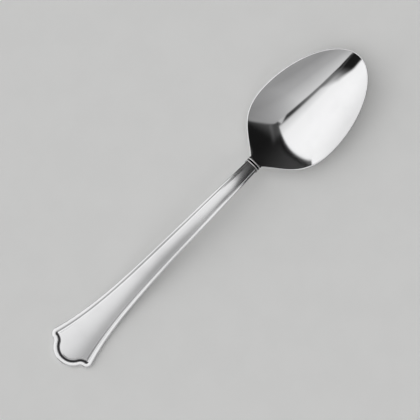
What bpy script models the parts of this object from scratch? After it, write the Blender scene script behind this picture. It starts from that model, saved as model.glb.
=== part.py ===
"""Dessert spoon with a moulded border, in three pieces: a bowl with a tang, a beaded collar and a handle.

Metres, +Z up. X runs from the end of the handle to the lip of the bowl, the spoon is even about Y = 0, and
the origin is on the table under the middle of its length. A station is a distance along X from the end of
the handle. The tang of the bowl passes through the collar into a socket in the handle.
"""

import math

import bmesh
import bpy
from mathutils import Matrix, Vector

MM = 0.001

# Lengths along the spoon, and the room that the braze fills between two pieces
HANDLE_LENGTH = 118.3 * MM
COLLAR_LENGTH = 2.2 * MM
BOWL_LENGTH = 63.9 * MM
JOINT_GAP = 0.3 * MM

# Side view of the handle, measured to the crest of its border
END_THICKNESS = 2.0 * MM
NECK_DEPTH = 4.6 * MM
FOOT_LENGTH = 14.0 * MM
FOOT_REACH = 34.0 * MM
ARCH_HEIGHT = 16.0 * MM
ARCH_BEFORE_COLLAR = 24.7 * MM
ARCH_REAR_REACH = 18.0 * MM
ARCH_FRONT_REACH = 19.0 * MM

# Plan of the handle: a round lobe and two shoulder lobes at the end, then a long flare
END_WIDTH = 22.8 * MM
LOBE_RADIUS = 8.7 * MM
SHOULDER_RADIUS = 2.84 * MM
SHOULDER_SETBACK = 8.2 * MM
NOTCH_RADIUS = 1.5 * MM
SHOULDER_TURN = math.radians(17.4)
FLARE_REACH = 24.2 * MM
TAPER_REACH = 59.7 * MM
TAPER_SLOPE = 0.034
STEM_WIDTH = 6.0 * MM

# Moulded border, from the edge to the floor of its groove, and the crowned field inside it
END_BORDER = 2.3 * MM
NECK_BORDER = 1.05 * MM
END_GROOVE_DEPTH = 0.65 * MM
NECK_GROOVE_DEPTH = 0.2 * MM
END_CROWN = 0.58 * MM
NECK_CROWN = 0.1 * MM
END_DOME = 0.35 * MM
# Crest of the bead, its fall to the groove and the end of the field's lip, as shares of the border's width
BEAD_CREST = 0.28
BEAD_INNER = 0.66
LIP_END = 1.5
# Fall of the bead to the edge, as a share of the crest's distance, and of the lip, of the groove's depth
BEAD_DROP = 0.9
LIP_DROP = 0.3

# Side and back of the handle: an upright side, rounded under
SIDE_SHARE = 0.68
BACK_ROUND = 1.2 * MM

# Bowl: plan, side view of the inside, the edge, and the heel that carries the neck on underneath
BOWL_WIDTH = 40.8 * MM
WIDEST_AFTER_NECK = 26.4 * MM
NECK_WIDTH = 6.6 * MM
NECK_FLARE_ANGLE = math.radians(49.4)
NECK_FLARE_REACH = 10.7 * MM
SIDE_REAR_REACH = 17.0 * MM
SIDE_FRONT_REACH = 19.4 * MM
LIP_SIDE_REACH = 10.9 * MM
DEEPEST_BEFORE_LIP = 32.5 * MM
FLOOR_THICKNESS = 1.8 * MM
DEEPEST_REAR_REACH = 20.0 * MM
DEEPEST_FRONT_REACH = 10.3 * MM
LIP_HEIGHT = 10.8 * MM
LIP_ANGLE = math.radians(30.5)
LIP_REACH = 10.4 * MM
RIM_NECK_REACH = 8.0 * MM
RIM_LIP_REACH = 30.0 * MM
RIM_SAG = 0.6 * MM
RIM_WIDTH = 0.6 * MM
RIM_NECK_WIDTH = 0.25 * MM
RIM_NECK_FADE = 14.0 * MM
RIM_EDGE = 1.3 * MM
HEEL_LENGTH = 26.0 * MM
HEEL_HALF_WIDTH = 7.0 * MM
REST_FLAT_DEPTH = 0.15 * MM

# Joint: a flat tang, and two fine half round beads on the collar, each with a flat land beside it
TANG_WIDTH = 2.8 * MM
TANG_HEIGHT = 1.8 * MM
TANG_GRIP = 9.0 * MM
TANG_ROOT = 2.0 * MM
TANG_CHAMFER = 0.35 * MM
COLLAR_BEAD_HEIGHT = 0.2 * MM
COLLAR_BEAD_WIDTH = 0.6 * MM
COLLAR_LAND = 0.225 * MM
COLLAR_SQUARENESS = 3.0

# Finish
STEEL_COLOUR = (0.79, 0.79, 0.80, 1.0)
HANDLE_ROUGHNESS = 0.16
COLLAR_ROUGHNESS = 0.14
BOWL_ROUGHNESS = 0.1
SHARP_ANGLE = math.radians(35.0)

# Steps of the mesh
LOBE_STEPS = 14
NOTCH_STEPS = 6
SHOULDER_STEPS = 9
STEM_STEP = 3.0 * MM
FIELD_STEPS = 5
LIP_STEPS = 4
GROOVE_STEPS = 5
BEAD_STEPS = 4
ROUND_STEPS = 3
BACK_STEPS = 2
BOWL_SIDE_STEPS = 22
NECK_STEPS = 4
TAIL_STEPS = 3
TAIL_MARGIN = 0.2
RIM_STEPS = 4
RING_SHARES = (0.95, 0.88, 0.79, 0.69, 0.58, 0.46, 0.34, 0.22, 0.1)
COLLAR_SIDES = 44
COLLAR_BEAD_STEPS = 4
SLOPE_STEP = 0.02 * MM
BISECTIONS = 44
WELD = 0.000001

# Stations worked out from the sizes above
LENGTH = HANDLE_LENGTH + COLLAR_LENGTH + BOWL_LENGTH + 2 * JOINT_GAP
NECK_STATION = LENGTH - BOWL_LENGTH
COLLAR_STATION = HANDLE_LENGTH + JOINT_GAP + COLLAR_LENGTH / 2
ARCH_STATION = COLLAR_STATION - ARCH_BEFORE_COLLAR
DEEPEST_STATION = LENGTH - DEEPEST_BEFORE_LIP
FAN_START = LIP_END * END_BORDER
FAN_END = 2 * LOBE_RADIUS


def cubic(points, t):
    """Point at t on a cubic Bezier curve."""
    first = points[0].lerp(points[1], t)
    middle = points[1].lerp(points[2], t)
    last = points[2].lerp(points[3], t)
    return first.lerp(middle, t).lerp(middle.lerp(last, t), t)


def cubic_tangent(points, t):
    """Direction of a cubic Bezier curve at t, not normalised."""
    p0, p1, p2, p3 = points
    return (p1 - p0) * (1 - t) ** 2 + (p2 - p1) * (2 * t * (1 - t)) + (p3 - p2) * t ** 2


def read_curve(segments, station):
    """Value and slope, at a station, of Bezier segments that run on along the spoon."""
    points = next((s for s in segments if station <= s[3].x), segments[-1])
    low = 0.0
    high = 1.0
    for _ in range(BISECTIONS):
        t = (low + high) / 2
        if cubic(points, t).x < station:
            low = t
        else:
            high = t
    tangent = cubic_tangent(points, t)
    return cubic(points, t).y, tangent.y / tangent.x


def smooth_share(value):
    """Ease from 0 to 1."""
    value = min(max(value, 0.0), 1.0)
    return value * value * (3 - 2 * value)


def swell(value):
    """Half a cosine wave from 0 to 1."""
    return (1 - math.cos(math.pi * value)) / 2


def roll_off(value, start, leaving, end):
    """Cubic from a start level, left at a given slope, to an end level that is reached flat."""
    return start + (end - start) * smooth_share(value) + leaving * value * (1 - value) ** 2


def spine_segments():
    """Upper centre line in side view: a flat foot, the arch of the handle, and the inside of the bowl."""
    foot = Vector((0.0, END_THICKNESS))
    foot_end = Vector((FOOT_LENGTH, END_THICKNESS))
    arch = Vector((ARCH_STATION, ARCH_HEIGHT))
    deepest = Vector((DEEPEST_STATION, FLOOR_THICKNESS))
    lip = Vector((LENGTH, LIP_HEIGHT))
    along = Vector((1.0, 0.0))
    up_to_lip = Vector((math.cos(LIP_ANGLE), math.sin(LIP_ANGLE)))
    return [
        [foot, foot.lerp(foot_end, 1 / 3), foot.lerp(foot_end, 2 / 3), foot_end],
        [foot_end, foot_end + along * FOOT_REACH, arch - along * ARCH_REAR_REACH, arch],
        [arch, arch + along * ARCH_FRONT_REACH, deepest - along * DEEPEST_REAR_REACH, deepest],
        [deepest, deepest + along * DEEPEST_FRONT_REACH, lip - up_to_lip * LIP_REACH, lip],
    ]


SPINE = spine_segments()
NECK_HEIGHT, NECK_SLOPE = read_curve(SPINE, NECK_STATION)
COLLAR_HEIGHT, COLLAR_SLOPE = read_curve(SPINE, COLLAR_STATION)
# Length of the neck behind the bowl, long enough for the slanting cut at the collar
NECK_TAIL = NECK_DEPTH * (TAIL_MARGIN + abs(math.sin(math.atan(COLLAR_SLOPE))))


def rim_segments():
    """Edge of the bowl in side view, from the neck to the lip."""
    neck = Vector((NECK_STATION, NECK_HEIGHT))
    lip = Vector((LENGTH, LIP_HEIGHT))
    return [[
        neck,
        neck + Vector((1.0, NECK_SLOPE)) * RIM_NECK_REACH,
        lip - Vector((RIM_LIP_REACH, RIM_SAG)),
        lip,
    ]]


def bowl_side_segments():
    """Half plan of the bowl, from the neck past the widest place to the lip."""
    neck = Vector((NECK_STATION, NECK_WIDTH / 2))
    widest = Vector((NECK_STATION + WIDEST_AFTER_NECK, BOWL_WIDTH / 2))
    lip = Vector((LENGTH, 0.0))
    along = Vector((1.0, 0.0))
    flare = Vector((math.cos(NECK_FLARE_ANGLE), math.sin(NECK_FLARE_ANGLE)))
    return [
        [neck, neck + flare * NECK_FLARE_REACH, widest - along * SIDE_REAR_REACH, widest],
        [widest, widest + along * SIDE_FRONT_REACH, lip + Vector((0.0, LIP_SIDE_REACH)), lip],
    ]


def flare_segments():
    """Half plan of the handle from a shoulder lobe to the collar."""
    start = SHOULDER + FACING * SHOULDER_RADIUS
    stem = Vector((COLLAR_STATION, STEM_WIDTH / 2))
    leaving = start + Vector((FACING.y, -FACING.x)) * FLARE_REACH
    return [[start, leaving, stem - Vector((1.0, -TAPER_SLOPE)) * TAPER_REACH, stem]]


def notch_centre():
    """Centre of the notch, whose circle touches both lobes from outside."""
    span = SHOULDER - LOBE
    to_lobe = LOBE_RADIUS + NOTCH_RADIUS
    to_shoulder = SHOULDER_RADIUS + NOTCH_RADIUS
    along = (span.length_squared + to_lobe ** 2 - to_shoulder ** 2) / (2 * span.length)
    beside = math.sqrt(to_lobe ** 2 - along ** 2)
    across = Vector((-span.y, span.x)) / span.length
    return LOBE + span.normalized() * along + across * beside


RIM = rim_segments()
BOWL_SIDE = bowl_side_segments()
LOBE = Vector((LOBE_RADIUS, 0.0))
SHOULDER = Vector((SHOULDER_SETBACK, END_WIDTH / 2 - SHOULDER_RADIUS))
FACING = Vector((math.sin(SHOULDER_TURN), math.cos(SHOULDER_TURN)))
FLARE = flare_segments()
NOTCH = notch_centre()


def steel(name, roughness):
    """Polished stainless steel."""
    material = bpy.data.materials.new(name)
    material.use_nodes = True
    shader = material.node_tree.nodes["Principled BSDF"]
    shader.inputs["Base Color"].default_value = STEEL_COLOUR
    shader.inputs["Metallic"].default_value = 1.0
    shader.inputs["Roughness"].default_value = roughness
    return material


def add_piece(name, bm, material):
    """Turn a finished bmesh into a smooth shaded object."""
    bmesh.ops.recalc_face_normals(bm, faces=bm.faces)
    mesh = bpy.data.meshes.new(name)
    bm.to_mesh(mesh)
    bm.free()
    mesh.shade_smooth()
    mesh.set_sharp_from_angle(angle=SHARP_ANGLE)
    piece = bpy.data.objects.new(name, mesh)
    bpy.context.scene.collection.objects.link(piece)
    if material is not None:
        mesh.materials.append(material)
    return piece


def add_chain(bm, places):
    """Row of vertices joined by edges."""
    row = [bm.verts.new(place) for place in places]
    for start, end in zip(row, row[1:]):
        bm.edges.new((start, end))
    return row


def extrude_chain(bm, row, places):
    """Extrude a row of edges and set the new vertices in their places."""
    edges = [bm.edges.get(pair) for pair in zip(row, row[1:])]
    made = bmesh.ops.extrude_edge_only(bm, edges=edges)["geom"]
    fresh = {item for item in made if isinstance(item, bmesh.types.BMVert)}
    twins = []
    for vert, place in zip(row, places):
        twin = next(e.other_vert(vert) for e in vert.link_edges if e.other_vert(vert) in fresh)
        twin.co = place
        twins.append(twin)
    return twins


def joint_frame(along, lift):
    """Matrix of the joint: X along the stem, Z out of its top, from the collar's middle on the spine."""
    tilt = math.atan(COLLAR_SLOPE)
    place = Vector((COLLAR_STATION - LENGTH / 2, 0.0, COLLAR_HEIGHT))
    return Matrix.Translation(place) @ Matrix.Rotation(-tilt, 4, "Y") @ Matrix.Translation((along, 0, lift))


def mirror_and_cut(bm, side):
    """Mirror a half about Y = 0, and cut it square at its own side of the collar, -1 behind and 1 ahead."""
    bmesh.ops.remove_doubles(bm, verts=bm.verts, dist=WELD)
    everything = bm.verts[:] + bm.edges[:] + bm.faces[:]
    bmesh.ops.mirror(bm, geom=everything, axis="Y", merge_dist=WELD)
    frame = joint_frame(side * (COLLAR_LENGTH / 2 + JOINT_GAP), 0.0)
    everything = bm.verts[:] + bm.edges[:] + bm.faces[:]
    outwards = frame.to_3x3() @ Vector((-side, 0.0, 0.0))
    bmesh.ops.bisect_plane(
        bm, geom=everything, dist=WELD, plane_co=frame.translation, plane_no=outwards, clear_outer=True
    )
    bmesh.ops.holes_fill(bm, edges=[e for e in bm.edges if e.is_boundary])


def arc(centre, radius, start, end, steps, inward, stretch):
    """Points on an arc, each with its direction into the metal and the stretch of the outline it is on."""
    points = []
    for step in range(steps):
        angle = start + (end - start) * step / steps
        spoke = Vector((math.cos(angle), math.sin(angle)))
        points.append((centre + spoke * radius, spoke * inward, stretch))
    return points


def handle_outline():
    """Half plan of the handle from its tip to the collar: point, direction inwards, stretch."""
    lobe_end = math.atan2(NOTCH.y - LOBE.y, NOTCH.x - LOBE.x)
    notch_end = math.atan2(SHOULDER.y - NOTCH.y, SHOULDER.x - NOTCH.x)
    corner_start = notch_end + math.pi
    corner_end = math.pi / 2 - SHOULDER_TURN
    outline = arc(LOBE, LOBE_RADIUS, math.pi, lobe_end, LOBE_STEPS, -1, "lobe")
    outline += arc(NOTCH, NOTCH_RADIUS, lobe_end - math.pi, notch_end, NOTCH_STEPS, 1, "lobe")
    outline += arc(SHOULDER, SHOULDER_RADIUS, corner_start, corner_end, SHOULDER_STEPS, -1, "corner")
    stations = []
    bends = (FLARE[0][0].x, ARCH_STATION, COLLAR_STATION)
    for start, end in zip(bends, bends[1:]):
        steps = math.ceil((end - start) / STEM_STEP)
        stations += [start + (end - start) * step / steps for step in range(steps)]
    for station in stations + [COLLAR_STATION]:
        half_width, slope = read_curve(FLARE, station)
        outline.append((Vector((station, half_width)), Vector((slope, -1.0)).normalized(), "side"))
    return outline


def mitre(offset):
    """Place inside a shoulder lobe that is equally far from the side and from the notch."""
    along = Vector((FACING.y, -FACING.x))
    beside = FLARE[0][0] - FACING * offset
    from_notch = beside - NOTCH
    half = from_notch.dot(along)
    reach = NOTCH_RADIUS + offset
    root = math.sqrt(max(half ** 2 - from_notch.length_squared + reach ** 2, 0.0))
    return beside + along * min(root - half, -root - half, key=abs)


def border_place(point, inward, stretch, offset):
    """Place at a distance inside the edge, held at the mitre of the shoulder."""
    place = point + inward * offset
    if stretch == "corner":
        past = offset > SHOULDER_RADIUS
    elif stretch == "lobe":
        past = (FLARE[0][0] - place).dot(FACING) < offset - WELD
    else:
        past = (place - NOTCH).length - NOTCH_RADIUS < offset - WELD
    return mitre(offset) if past else place


def flare_width(station):
    """Half width of the handle and its share of the end's width, with no lobes."""
    start = FLARE[0][0]
    stem = FLARE[0][3]
    half_width = read_curve(FLARE, max(station, start.x))[0]
    return half_width, (half_width - stem.y) / (start.y - stem.y)


def border(end_share):
    """Width from the edge to the floor of the groove, and depth of the groove."""
    width = NECK_BORDER + (END_BORDER - NECK_BORDER) * end_share
    return width, NECK_GROOVE_DEPTH + (END_GROOVE_DEPTH - NECK_GROOVE_DEPTH) * end_share


def field_level(place):
    """Crowned field inside the border, measured from the crest of the bead."""
    half_width, end_share = flare_width(place.x)
    width, depth = border(end_share)
    crown = NECK_CROWN + (END_CROWN - NECK_CROWN) * end_share
    edge = max(half_width - LIP_END * width, WELD)
    behind = max(LOBE_RADIUS - place.x, 0.0) / (LOBE_RADIUS - FAN_START)
    return crown * (1 - (place.y / edge) ** 2) - END_DOME * behind ** 2 - LIP_DROP * depth


def rib_centre(station):
    """Station where a rib meets the centre line: ribs of the lobed end fan out from the lobe's middle."""
    if station >= FAN_END:
        return station
    return LOBE_RADIUS + (station - FAN_START) * (FAN_END - LOBE_RADIUS) / (FAN_END - FAN_START)


def border_plan(point, inward, stretch):
    """Places and levels of one rib from the lip of the field, through the groove and over the bead."""
    width, depth = border(flare_width(point.x)[1])
    crest = BEAD_CREST * width
    lip_end = LIP_END * width
    field_edge = border_place(point, inward, stretch, lip_end)
    edge_level = field_level(field_edge)
    beyond = border_place(point, inward, stretch, lip_end - SLOPE_STEP)
    leaving = (field_level(beyond) - edge_level) / SLOPE_STEP * (lip_end - width)
    plan = []
    for step in range(LIP_STEPS):
        down = step / LIP_STEPS
        place = border_place(point, inward, stretch, lip_end + (width - lip_end) * down)
        plan.append((place, roll_off(down, edge_level, leaving, -depth)))
    for step in range(GROOVE_STEPS + 1):
        up = step / GROOVE_STEPS
        place = border_place(point, inward, stretch, width + (BEAD_INNER - 1) * width * up)
        plan.append((place, -depth * (1 - swell(up))))
    for step in range(BEAD_STEPS + 1):
        angle = math.pi / 2 * step / BEAD_STEPS
        place = point + inward * crest * (1 - math.sin(angle))
        plan.append((place, BEAD_DROP * crest * (math.cos(angle) - 1)))
    return plan


def handle_places(point, inward, stretch):
    """Places of one rib of the handle: over the top from the centre line to the edge, then along the back."""
    moulding = border_plan(point, inward, stretch)
    field_edge = moulding[0][0]
    middle = Vector((rib_centre(field_edge.x), 0.0))
    field = [middle.lerp(field_edge, step / FIELD_STEPS) for step in range(FIELD_STEPS)]
    plan = [(place, field_level(place)) for place in field] + moulding
    growth = max(point.x - FOOT_LENGTH, 0.0) / (COLLAR_STATION - FOOT_LENGTH)
    depth = END_THICKNESS + (NECK_DEPTH - END_THICKNESS) * growth ** 2
    side = depth * SIDE_SHARE
    for step in range(ROUND_STEPS):
        angle = math.pi / 2 * step / ROUND_STEPS
        place = point + inward * BACK_ROUND * (1 - math.cos(angle))
        plan.append((place, -side - (depth - side) * math.sin(angle)))
    back_edge = point + inward * BACK_ROUND
    for step in range(BACK_STEPS + 1):
        plan.append((back_edge.lerp(middle, step / BACK_STEPS), -depth))
    places = []
    for place, level in plan:
        height, slope = read_curve(SPINE, place.x)
        tilt = math.atan(slope)
        x = place.x - LENGTH / 2 - level * math.sin(tilt)
        places.append(Vector((x, place.y, height + level * math.cos(tilt))))
    return places


def build_handle():
    """Handle lofted from ribs that cross its border square to the edge."""
    ribs = [handle_places(*spot) for spot in handle_outline()]
    bm = bmesh.new()
    row = add_chain(bm, ribs[0])
    for rib in ribs[1:]:
        row = extrude_chain(bm, row, rib)
    mirror_and_cut(bm, -1)
    return add_piece("handle", bm, steel("handle_steel", HANDLE_ROUGHNESS))


def bowl_half_width(station):
    """Half width of the bowl in plan, with a short even neck behind it."""
    if station <= NECK_STATION:
        return NECK_WIDTH / 2
    return read_curve(BOWL_SIDE, station)[0]


def rim_height(station):
    """Top of the bowl's edge."""
    if station <= NECK_STATION:
        return NECK_HEIGHT + NECK_SLOPE * (station - NECK_STATION)
    return read_curve(RIM, station)[0]


def rim_width(station):
    """Width of the bowl's rounded edge, which narrows beside the neck."""
    fade = smooth_share((station - NECK_STATION) / RIM_NECK_FADE)
    return RIM_NECK_WIDTH + (RIM_WIDTH - RIM_NECK_WIDTH) * fade


def width_share(station, across):
    """Distance from the centre line as a share of the bowl's half width."""
    half_width = bowl_half_width(station)
    return min(abs(across) / half_width, 1.0) if half_width > WELD else 0.0


def inside_height(station, across):
    """Inside of the bowl, rising from its centre line to the rim."""
    centre = read_curve(SPINE, station)[0]
    return centre + (rim_height(station) - centre) * width_share(station, across) ** 2


def metal_depth(station, across):
    """Upright thickness of the bowl: thinner to the rim, and thick over the heel behind the neck."""
    ahead = max(station - DEEPEST_STATION, 0.0) / DEEPEST_BEFORE_LIP
    to_rim = ahead ** 2 + (1 - ahead ** 2) * width_share(station, across) ** 2
    floor = FLOOR_THICKNESS + REST_FLAT_DEPTH
    shell = floor + (RIM_EDGE - floor) * to_rim
    heel = NECK_DEPTH * math.hypot(1.0, NECK_SLOPE) - floor
    fade = 1 - smooth_share((station - NECK_STATION) / HEEL_LENGTH)
    side = max(1 - (across / HEEL_HALF_WIDTH) ** 2, 0.0)
    return shell + heel * fade * side ** 2


def outside_height(station, across):
    """Underside of the bowl, ground flat where it rests."""
    return max(inside_height(station, across) - metal_depth(station, across), 0.0)


def bowl_outline():
    """Half plan of the bowl from the lip to the back of the neck: point and direction inwards."""
    outline = []
    for points in reversed(BOWL_SIDE):
        for step in range(BOWL_SIDE_STEPS):
            t = 1 - step / BOWL_SIDE_STEPS
            tangent = cubic_tangent(points, t).normalized()
            outline.append((cubic(points, t), Vector((tangent.y, -tangent.x))))
    neck = BOWL_SIDE[0][0]
    outline.append((neck, Vector((NECK_WIDTH / 2, -NECK_WIDTH / 2)).normalized()))
    neck_end = neck - Vector((NECK_TAIL, 0.0))
    for step in range(1, TAIL_STEPS + 1):
        outline.append((neck.lerp(neck_end, step / TAIL_STEPS), Vector((0.0, -1.0))))
    for step in range(1, NECK_STEPS + 1):
        point = neck_end.lerp(Vector((neck_end.x, 0.0)), step / NECK_STEPS)
        outline.append((point, Vector((0.0, 0.0))))
    return outline


def bowl_places(plan, height):
    """Places in space over points in plan."""
    return [Vector((p.x - LENGTH / 2, p.y, height(p.x, p.y))) for p in plan]


def rim_places(outline, angle):
    """Places along the rounded edge of the bowl: 0 at its inside, half a turn at its outside."""
    places = []
    for point, inward in outline:
        width = rim_width(point.x)
        place = point + inward * width / 2 * (1 + math.cos(angle))
        top = rim_height(point.x)
        inner = point + inward * width
        foot = inside_height(inner.x, inner.y) if angle < math.pi / 2 else top - width / 2
        places.append(Vector((place.x - LENGTH / 2, place.y, foot + (top - foot) * math.sin(angle))))
    return places


def build_bowl():
    """Bowl made as rings, from the deepest point out to the rim and back underneath."""
    outline = bowl_outline()
    centre = Vector((DEEPEST_STATION, 0.0))
    edge = [point for point, _ in outline]
    lip = [point + inward * rim_width(point.x) for point, inward in outline]
    rings = [[centre.lerp(point, share) for point in lip] for share in RING_SHARES]
    bm = bmesh.new()
    row = add_chain(bm, bowl_places(rings[-1], inside_height))
    inner_ring = row
    for ring in reversed(rings[:-1]):
        row = extrude_chain(bm, row, bowl_places(ring, inside_height))
    for step in range(RIM_STEPS + 1):
        row = extrude_chain(bm, row, rim_places(outline, math.pi * step / RIM_STEPS))
    under = [[centre.lerp(point, share) for point in edge] for share in (1.0,) + RING_SHARES]
    for ring in under:
        row = extrude_chain(bm, row, bowl_places(ring, outside_height))
    x = centre.x - LENGTH / 2
    bmesh.ops.pointmerge(bm, verts=inner_ring, merge_co=(x, 0.0, FLOOR_THICKNESS))
    row = extrude_chain(bm, row, [Vector((x, 0.0, 0.0))] * len(row))
    bmesh.ops.pointmerge(bm, verts=row, merge_co=(x, 0.0, 0.0))
    mirror_and_cut(bm, 1)
    return add_piece("bowl", bm, steel("bowl_steel", BOWL_ROUGHNESS))


def add_bar(name, start, end, width, height, chamfer):
    """Flat bar along the joint's axis, in the middle of the neck's depth."""
    bm = bmesh.new()
    frame = joint_frame((start + end) / 2, -NECK_DEPTH / 2)
    size = Matrix.Diagonal((end - start, width, height, 1.0))
    bmesh.ops.create_cube(bm, size=1.0, matrix=frame @ size)
    if chamfer > 0.0:
        bmesh.ops.bevel(bm, geom=bm.edges[:], offset=chamfer, segments=1, affect="EDGES")
    bar = add_piece(name, bm, None)
    bar.hide_render = True
    bar.display_type = "WIRE"
    return bar


def boolean(piece, other, operation):
    """Join another shape to a piece, or cut it out."""
    modifier = piece.modifiers.new(operation.lower(), "BOOLEAN")
    modifier.operation = operation
    modifier.object = other
    modifier.solver = "EXACT"


def build_collar():
    """Oval ring with two fine beads round it."""
    half_width = NECK_WIDTH / 2
    half_height = NECK_DEPTH / 2
    crest = COLLAR_LENGTH / 2 - COLLAR_LAND - COLLAR_BEAD_WIDTH / 2
    profile = [(-COLLAR_LENGTH / 2, 0.0)]
    for middle in (-crest, crest):
        for step in range(COLLAR_BEAD_STEPS + 1):
            angle = math.pi * step / COLLAR_BEAD_STEPS
            along = middle - COLLAR_BEAD_WIDTH / 2 * math.cos(angle)
            profile.append((along, COLLAR_BEAD_HEIGHT * math.sin(angle)))
    profile.append((COLLAR_LENGTH / 2, 0.0))
    bm = bmesh.new()
    rows = []
    for along, proud in profile:
        frame = joint_frame(along, -half_height)
        row = []
        for side in range(COLLAR_SIDES):
            angle = 2 * math.pi * side / COLLAR_SIDES
            y = abs(math.cos(angle)) ** (2 / COLLAR_SQUARENESS) * (half_width + proud)
            z = abs(math.sin(angle)) ** (2 / COLLAR_SQUARENESS) * (half_height + proud)
            y = math.copysign(y, math.cos(angle))
            z = math.copysign(z, math.sin(angle))
            row.append(bm.verts.new(frame @ Vector((0.0, y, z))))
        loop = [bm.edges.new((a, b)) for a, b in zip(row, row[1:] + row[:1])]
        rows.append(loop)
    for start, end in zip(rows, rows[1:]):
        bmesh.ops.bridge_loops(bm, edges=start + end)
    bmesh.ops.holes_fill(bm, edges=[e for e in bm.edges if e.is_boundary])
    return add_piece("collar", bm, steel("collar_steel", COLLAR_ROUGHNESS))


def main():
    for old in list(bpy.data.objects):
        bpy.data.objects.remove(old, do_unlink=True)
    handle = build_handle()
    collar = build_collar()
    bowl = build_bowl()
    shoulder = COLLAR_LENGTH / 2 + JOINT_GAP
    tang_end = -shoulder - TANG_GRIP
    tang = add_bar("tang", tang_end, shoulder + TANG_ROOT, TANG_WIDTH, TANG_HEIGHT, TANG_CHAMFER)
    socket = add_bar(
        "socket", tang_end - JOINT_GAP, shoulder, TANG_WIDTH + 2 * JOINT_GAP, TANG_HEIGHT + 2 * JOINT_GAP, 0.0
    )
    boolean(bowl, tang, "UNION")
    boolean(collar, socket, "DIFFERENCE")
    boolean(handle, socket, "DIFFERENCE")


main()
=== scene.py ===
"""Looks of a dessert spoon with a moulded border: three pieces of polished steel on a pale floor.

Metres, +Z up. X runs from the end of the handle to the lip of the bowl, the spoon is even about Y = 0, and
the origin is on the table under the middle of its length. A station is a distance along X from the end of
the handle. Plan curves hold station and distance from the centre line; side curves hold station and height.
"""

import math

import bpy
from bpy.props import FloatProperty, FloatVectorProperty, PointerProperty
from bpy.types import Operator, Panel, PropertyGroup
from mathutils import Matrix, Vector


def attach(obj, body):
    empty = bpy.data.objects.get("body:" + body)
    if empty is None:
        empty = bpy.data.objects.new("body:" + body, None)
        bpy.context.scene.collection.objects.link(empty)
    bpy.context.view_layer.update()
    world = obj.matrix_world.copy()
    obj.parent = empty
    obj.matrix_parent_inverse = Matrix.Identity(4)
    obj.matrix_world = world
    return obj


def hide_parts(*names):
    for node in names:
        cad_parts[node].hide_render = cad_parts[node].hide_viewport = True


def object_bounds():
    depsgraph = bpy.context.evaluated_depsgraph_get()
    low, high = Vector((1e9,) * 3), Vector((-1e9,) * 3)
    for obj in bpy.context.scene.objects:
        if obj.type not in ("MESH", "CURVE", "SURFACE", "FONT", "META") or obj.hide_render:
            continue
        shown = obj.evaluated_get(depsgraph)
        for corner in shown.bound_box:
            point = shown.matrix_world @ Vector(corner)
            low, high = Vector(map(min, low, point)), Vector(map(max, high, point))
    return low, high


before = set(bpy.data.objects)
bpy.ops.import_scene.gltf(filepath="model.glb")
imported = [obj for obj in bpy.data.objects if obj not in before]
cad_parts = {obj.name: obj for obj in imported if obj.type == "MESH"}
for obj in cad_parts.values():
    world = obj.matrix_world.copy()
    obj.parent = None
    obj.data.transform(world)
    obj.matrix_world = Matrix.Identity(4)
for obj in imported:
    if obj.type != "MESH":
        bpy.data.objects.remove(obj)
CAD_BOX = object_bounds()

bl_info = {
    "name": "Dessert spoon",
    "version": (1, 0, 0),
    "blender": (4, 5, 0),
    "location": "3D View > Sidebar > Spoon",
    "description": "Builds a polished dessert spoon with a moulded border and the studio round it",
    "category": "Add Mesh",
}

MM = 0.001
WELD = 0.000001
LENGTH = CAD_BOX[1].x - CAD_BOX[0].x
END_X = CAD_BOX[0].x

# Steps of the meshes
LOBE_STEPS = 44
NOTCH_STEPS = 16
SHOULDER_STEPS = 36
STEM_STEP = 0.9 * MM
FIELD_ROWS = 20
LIP_ROWS = 12
GROOVE_ROWS = 14
EDGE_ROWS = 8
SIDE_ROWS = 3
ROUND_ROWS = 6
BACK_ROWS = 8
BOWL_SIDE_STEPS = 64
NECK_STEPS = 10
TAIL_STEPS = 5
TAIL_MARGIN = 0.2
INSIDE_ROWS = 44
RIM_ROWS = 8
OUTSIDE_ROWS = 36
COLLAR_SIDES = 96
COLLAR_BEAD_STEPS = 22
CHAMFER_STEPS = 2
CURVE_STEPS = 9
SLOPE_STEP = 0.02 * MM
SMOOTH_ANGLE = math.radians(38.0)

# Steel: fine hairlines along the spoon, a faint haze, and painted shade in the grooves
HAIRLINE_SCALE = (40.0, 2600.0, 40.0)
HAIRLINE_DETAIL = 3.0
HAIRLINE_ROUGHNESS = 0.6
HAIRLINE_MIDDLE = 0.5
HAIRLINE_STRENGTH = 0.05
HAIRLINE_DEPTH = 0.02 * MM
HANDLE_HAIRLINES = 0.03
COLLAR_HAIRLINES = 0.03
BOWL_HAIRLINES = 0.015
HAZE_SCALE = 95.0
HAZE_DETAIL = 4.0
HAZE_EDGES = (0.42, 0.72)
HAZE_TONE = 0.5
HAZE_DULLING = 0.12
# Painted shade in the grooves: a mask that darkens the steel there and makes it a little rougher
GROOVE_EDGES = (0.32, 0.8)
GROOVE_TONE = 0.97
GROOVE_DULLING = 0.12

# Colour sockets of a Mix node, by number because their names repeat
MIX_FACTOR = 0
MIX_FIRST = 6
MIX_SECOND = 7
MIX_RESULT = 2

# Floor and camera
FLOOR_SIZE = 16.0
FLOOR_ROUGHNESS = 0.9
FLOOR_GLOSS = 0.1
MOTTLE_SCALE = 60.0
MOTTLE_DETAIL = 5.0
MOTTLE_EDGES = (0.35, 0.65)
MOTTLE_TONE = 0.985
CAMERA_REACH = 100.0

# Light, by direction alone. A lean is how far a direction leans along X or Y for each unit that it rises.
# A ramp holds two places, and the values there where they aren't 0 and 1.
LEAST_RISE = 0.04
OVERHEAD = (0.16, 0.32)
HORIZON_LEVEL = 0.60
HORIZON_ACROSS = 0.28
HORIZON_ALONG = 0.22
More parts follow.
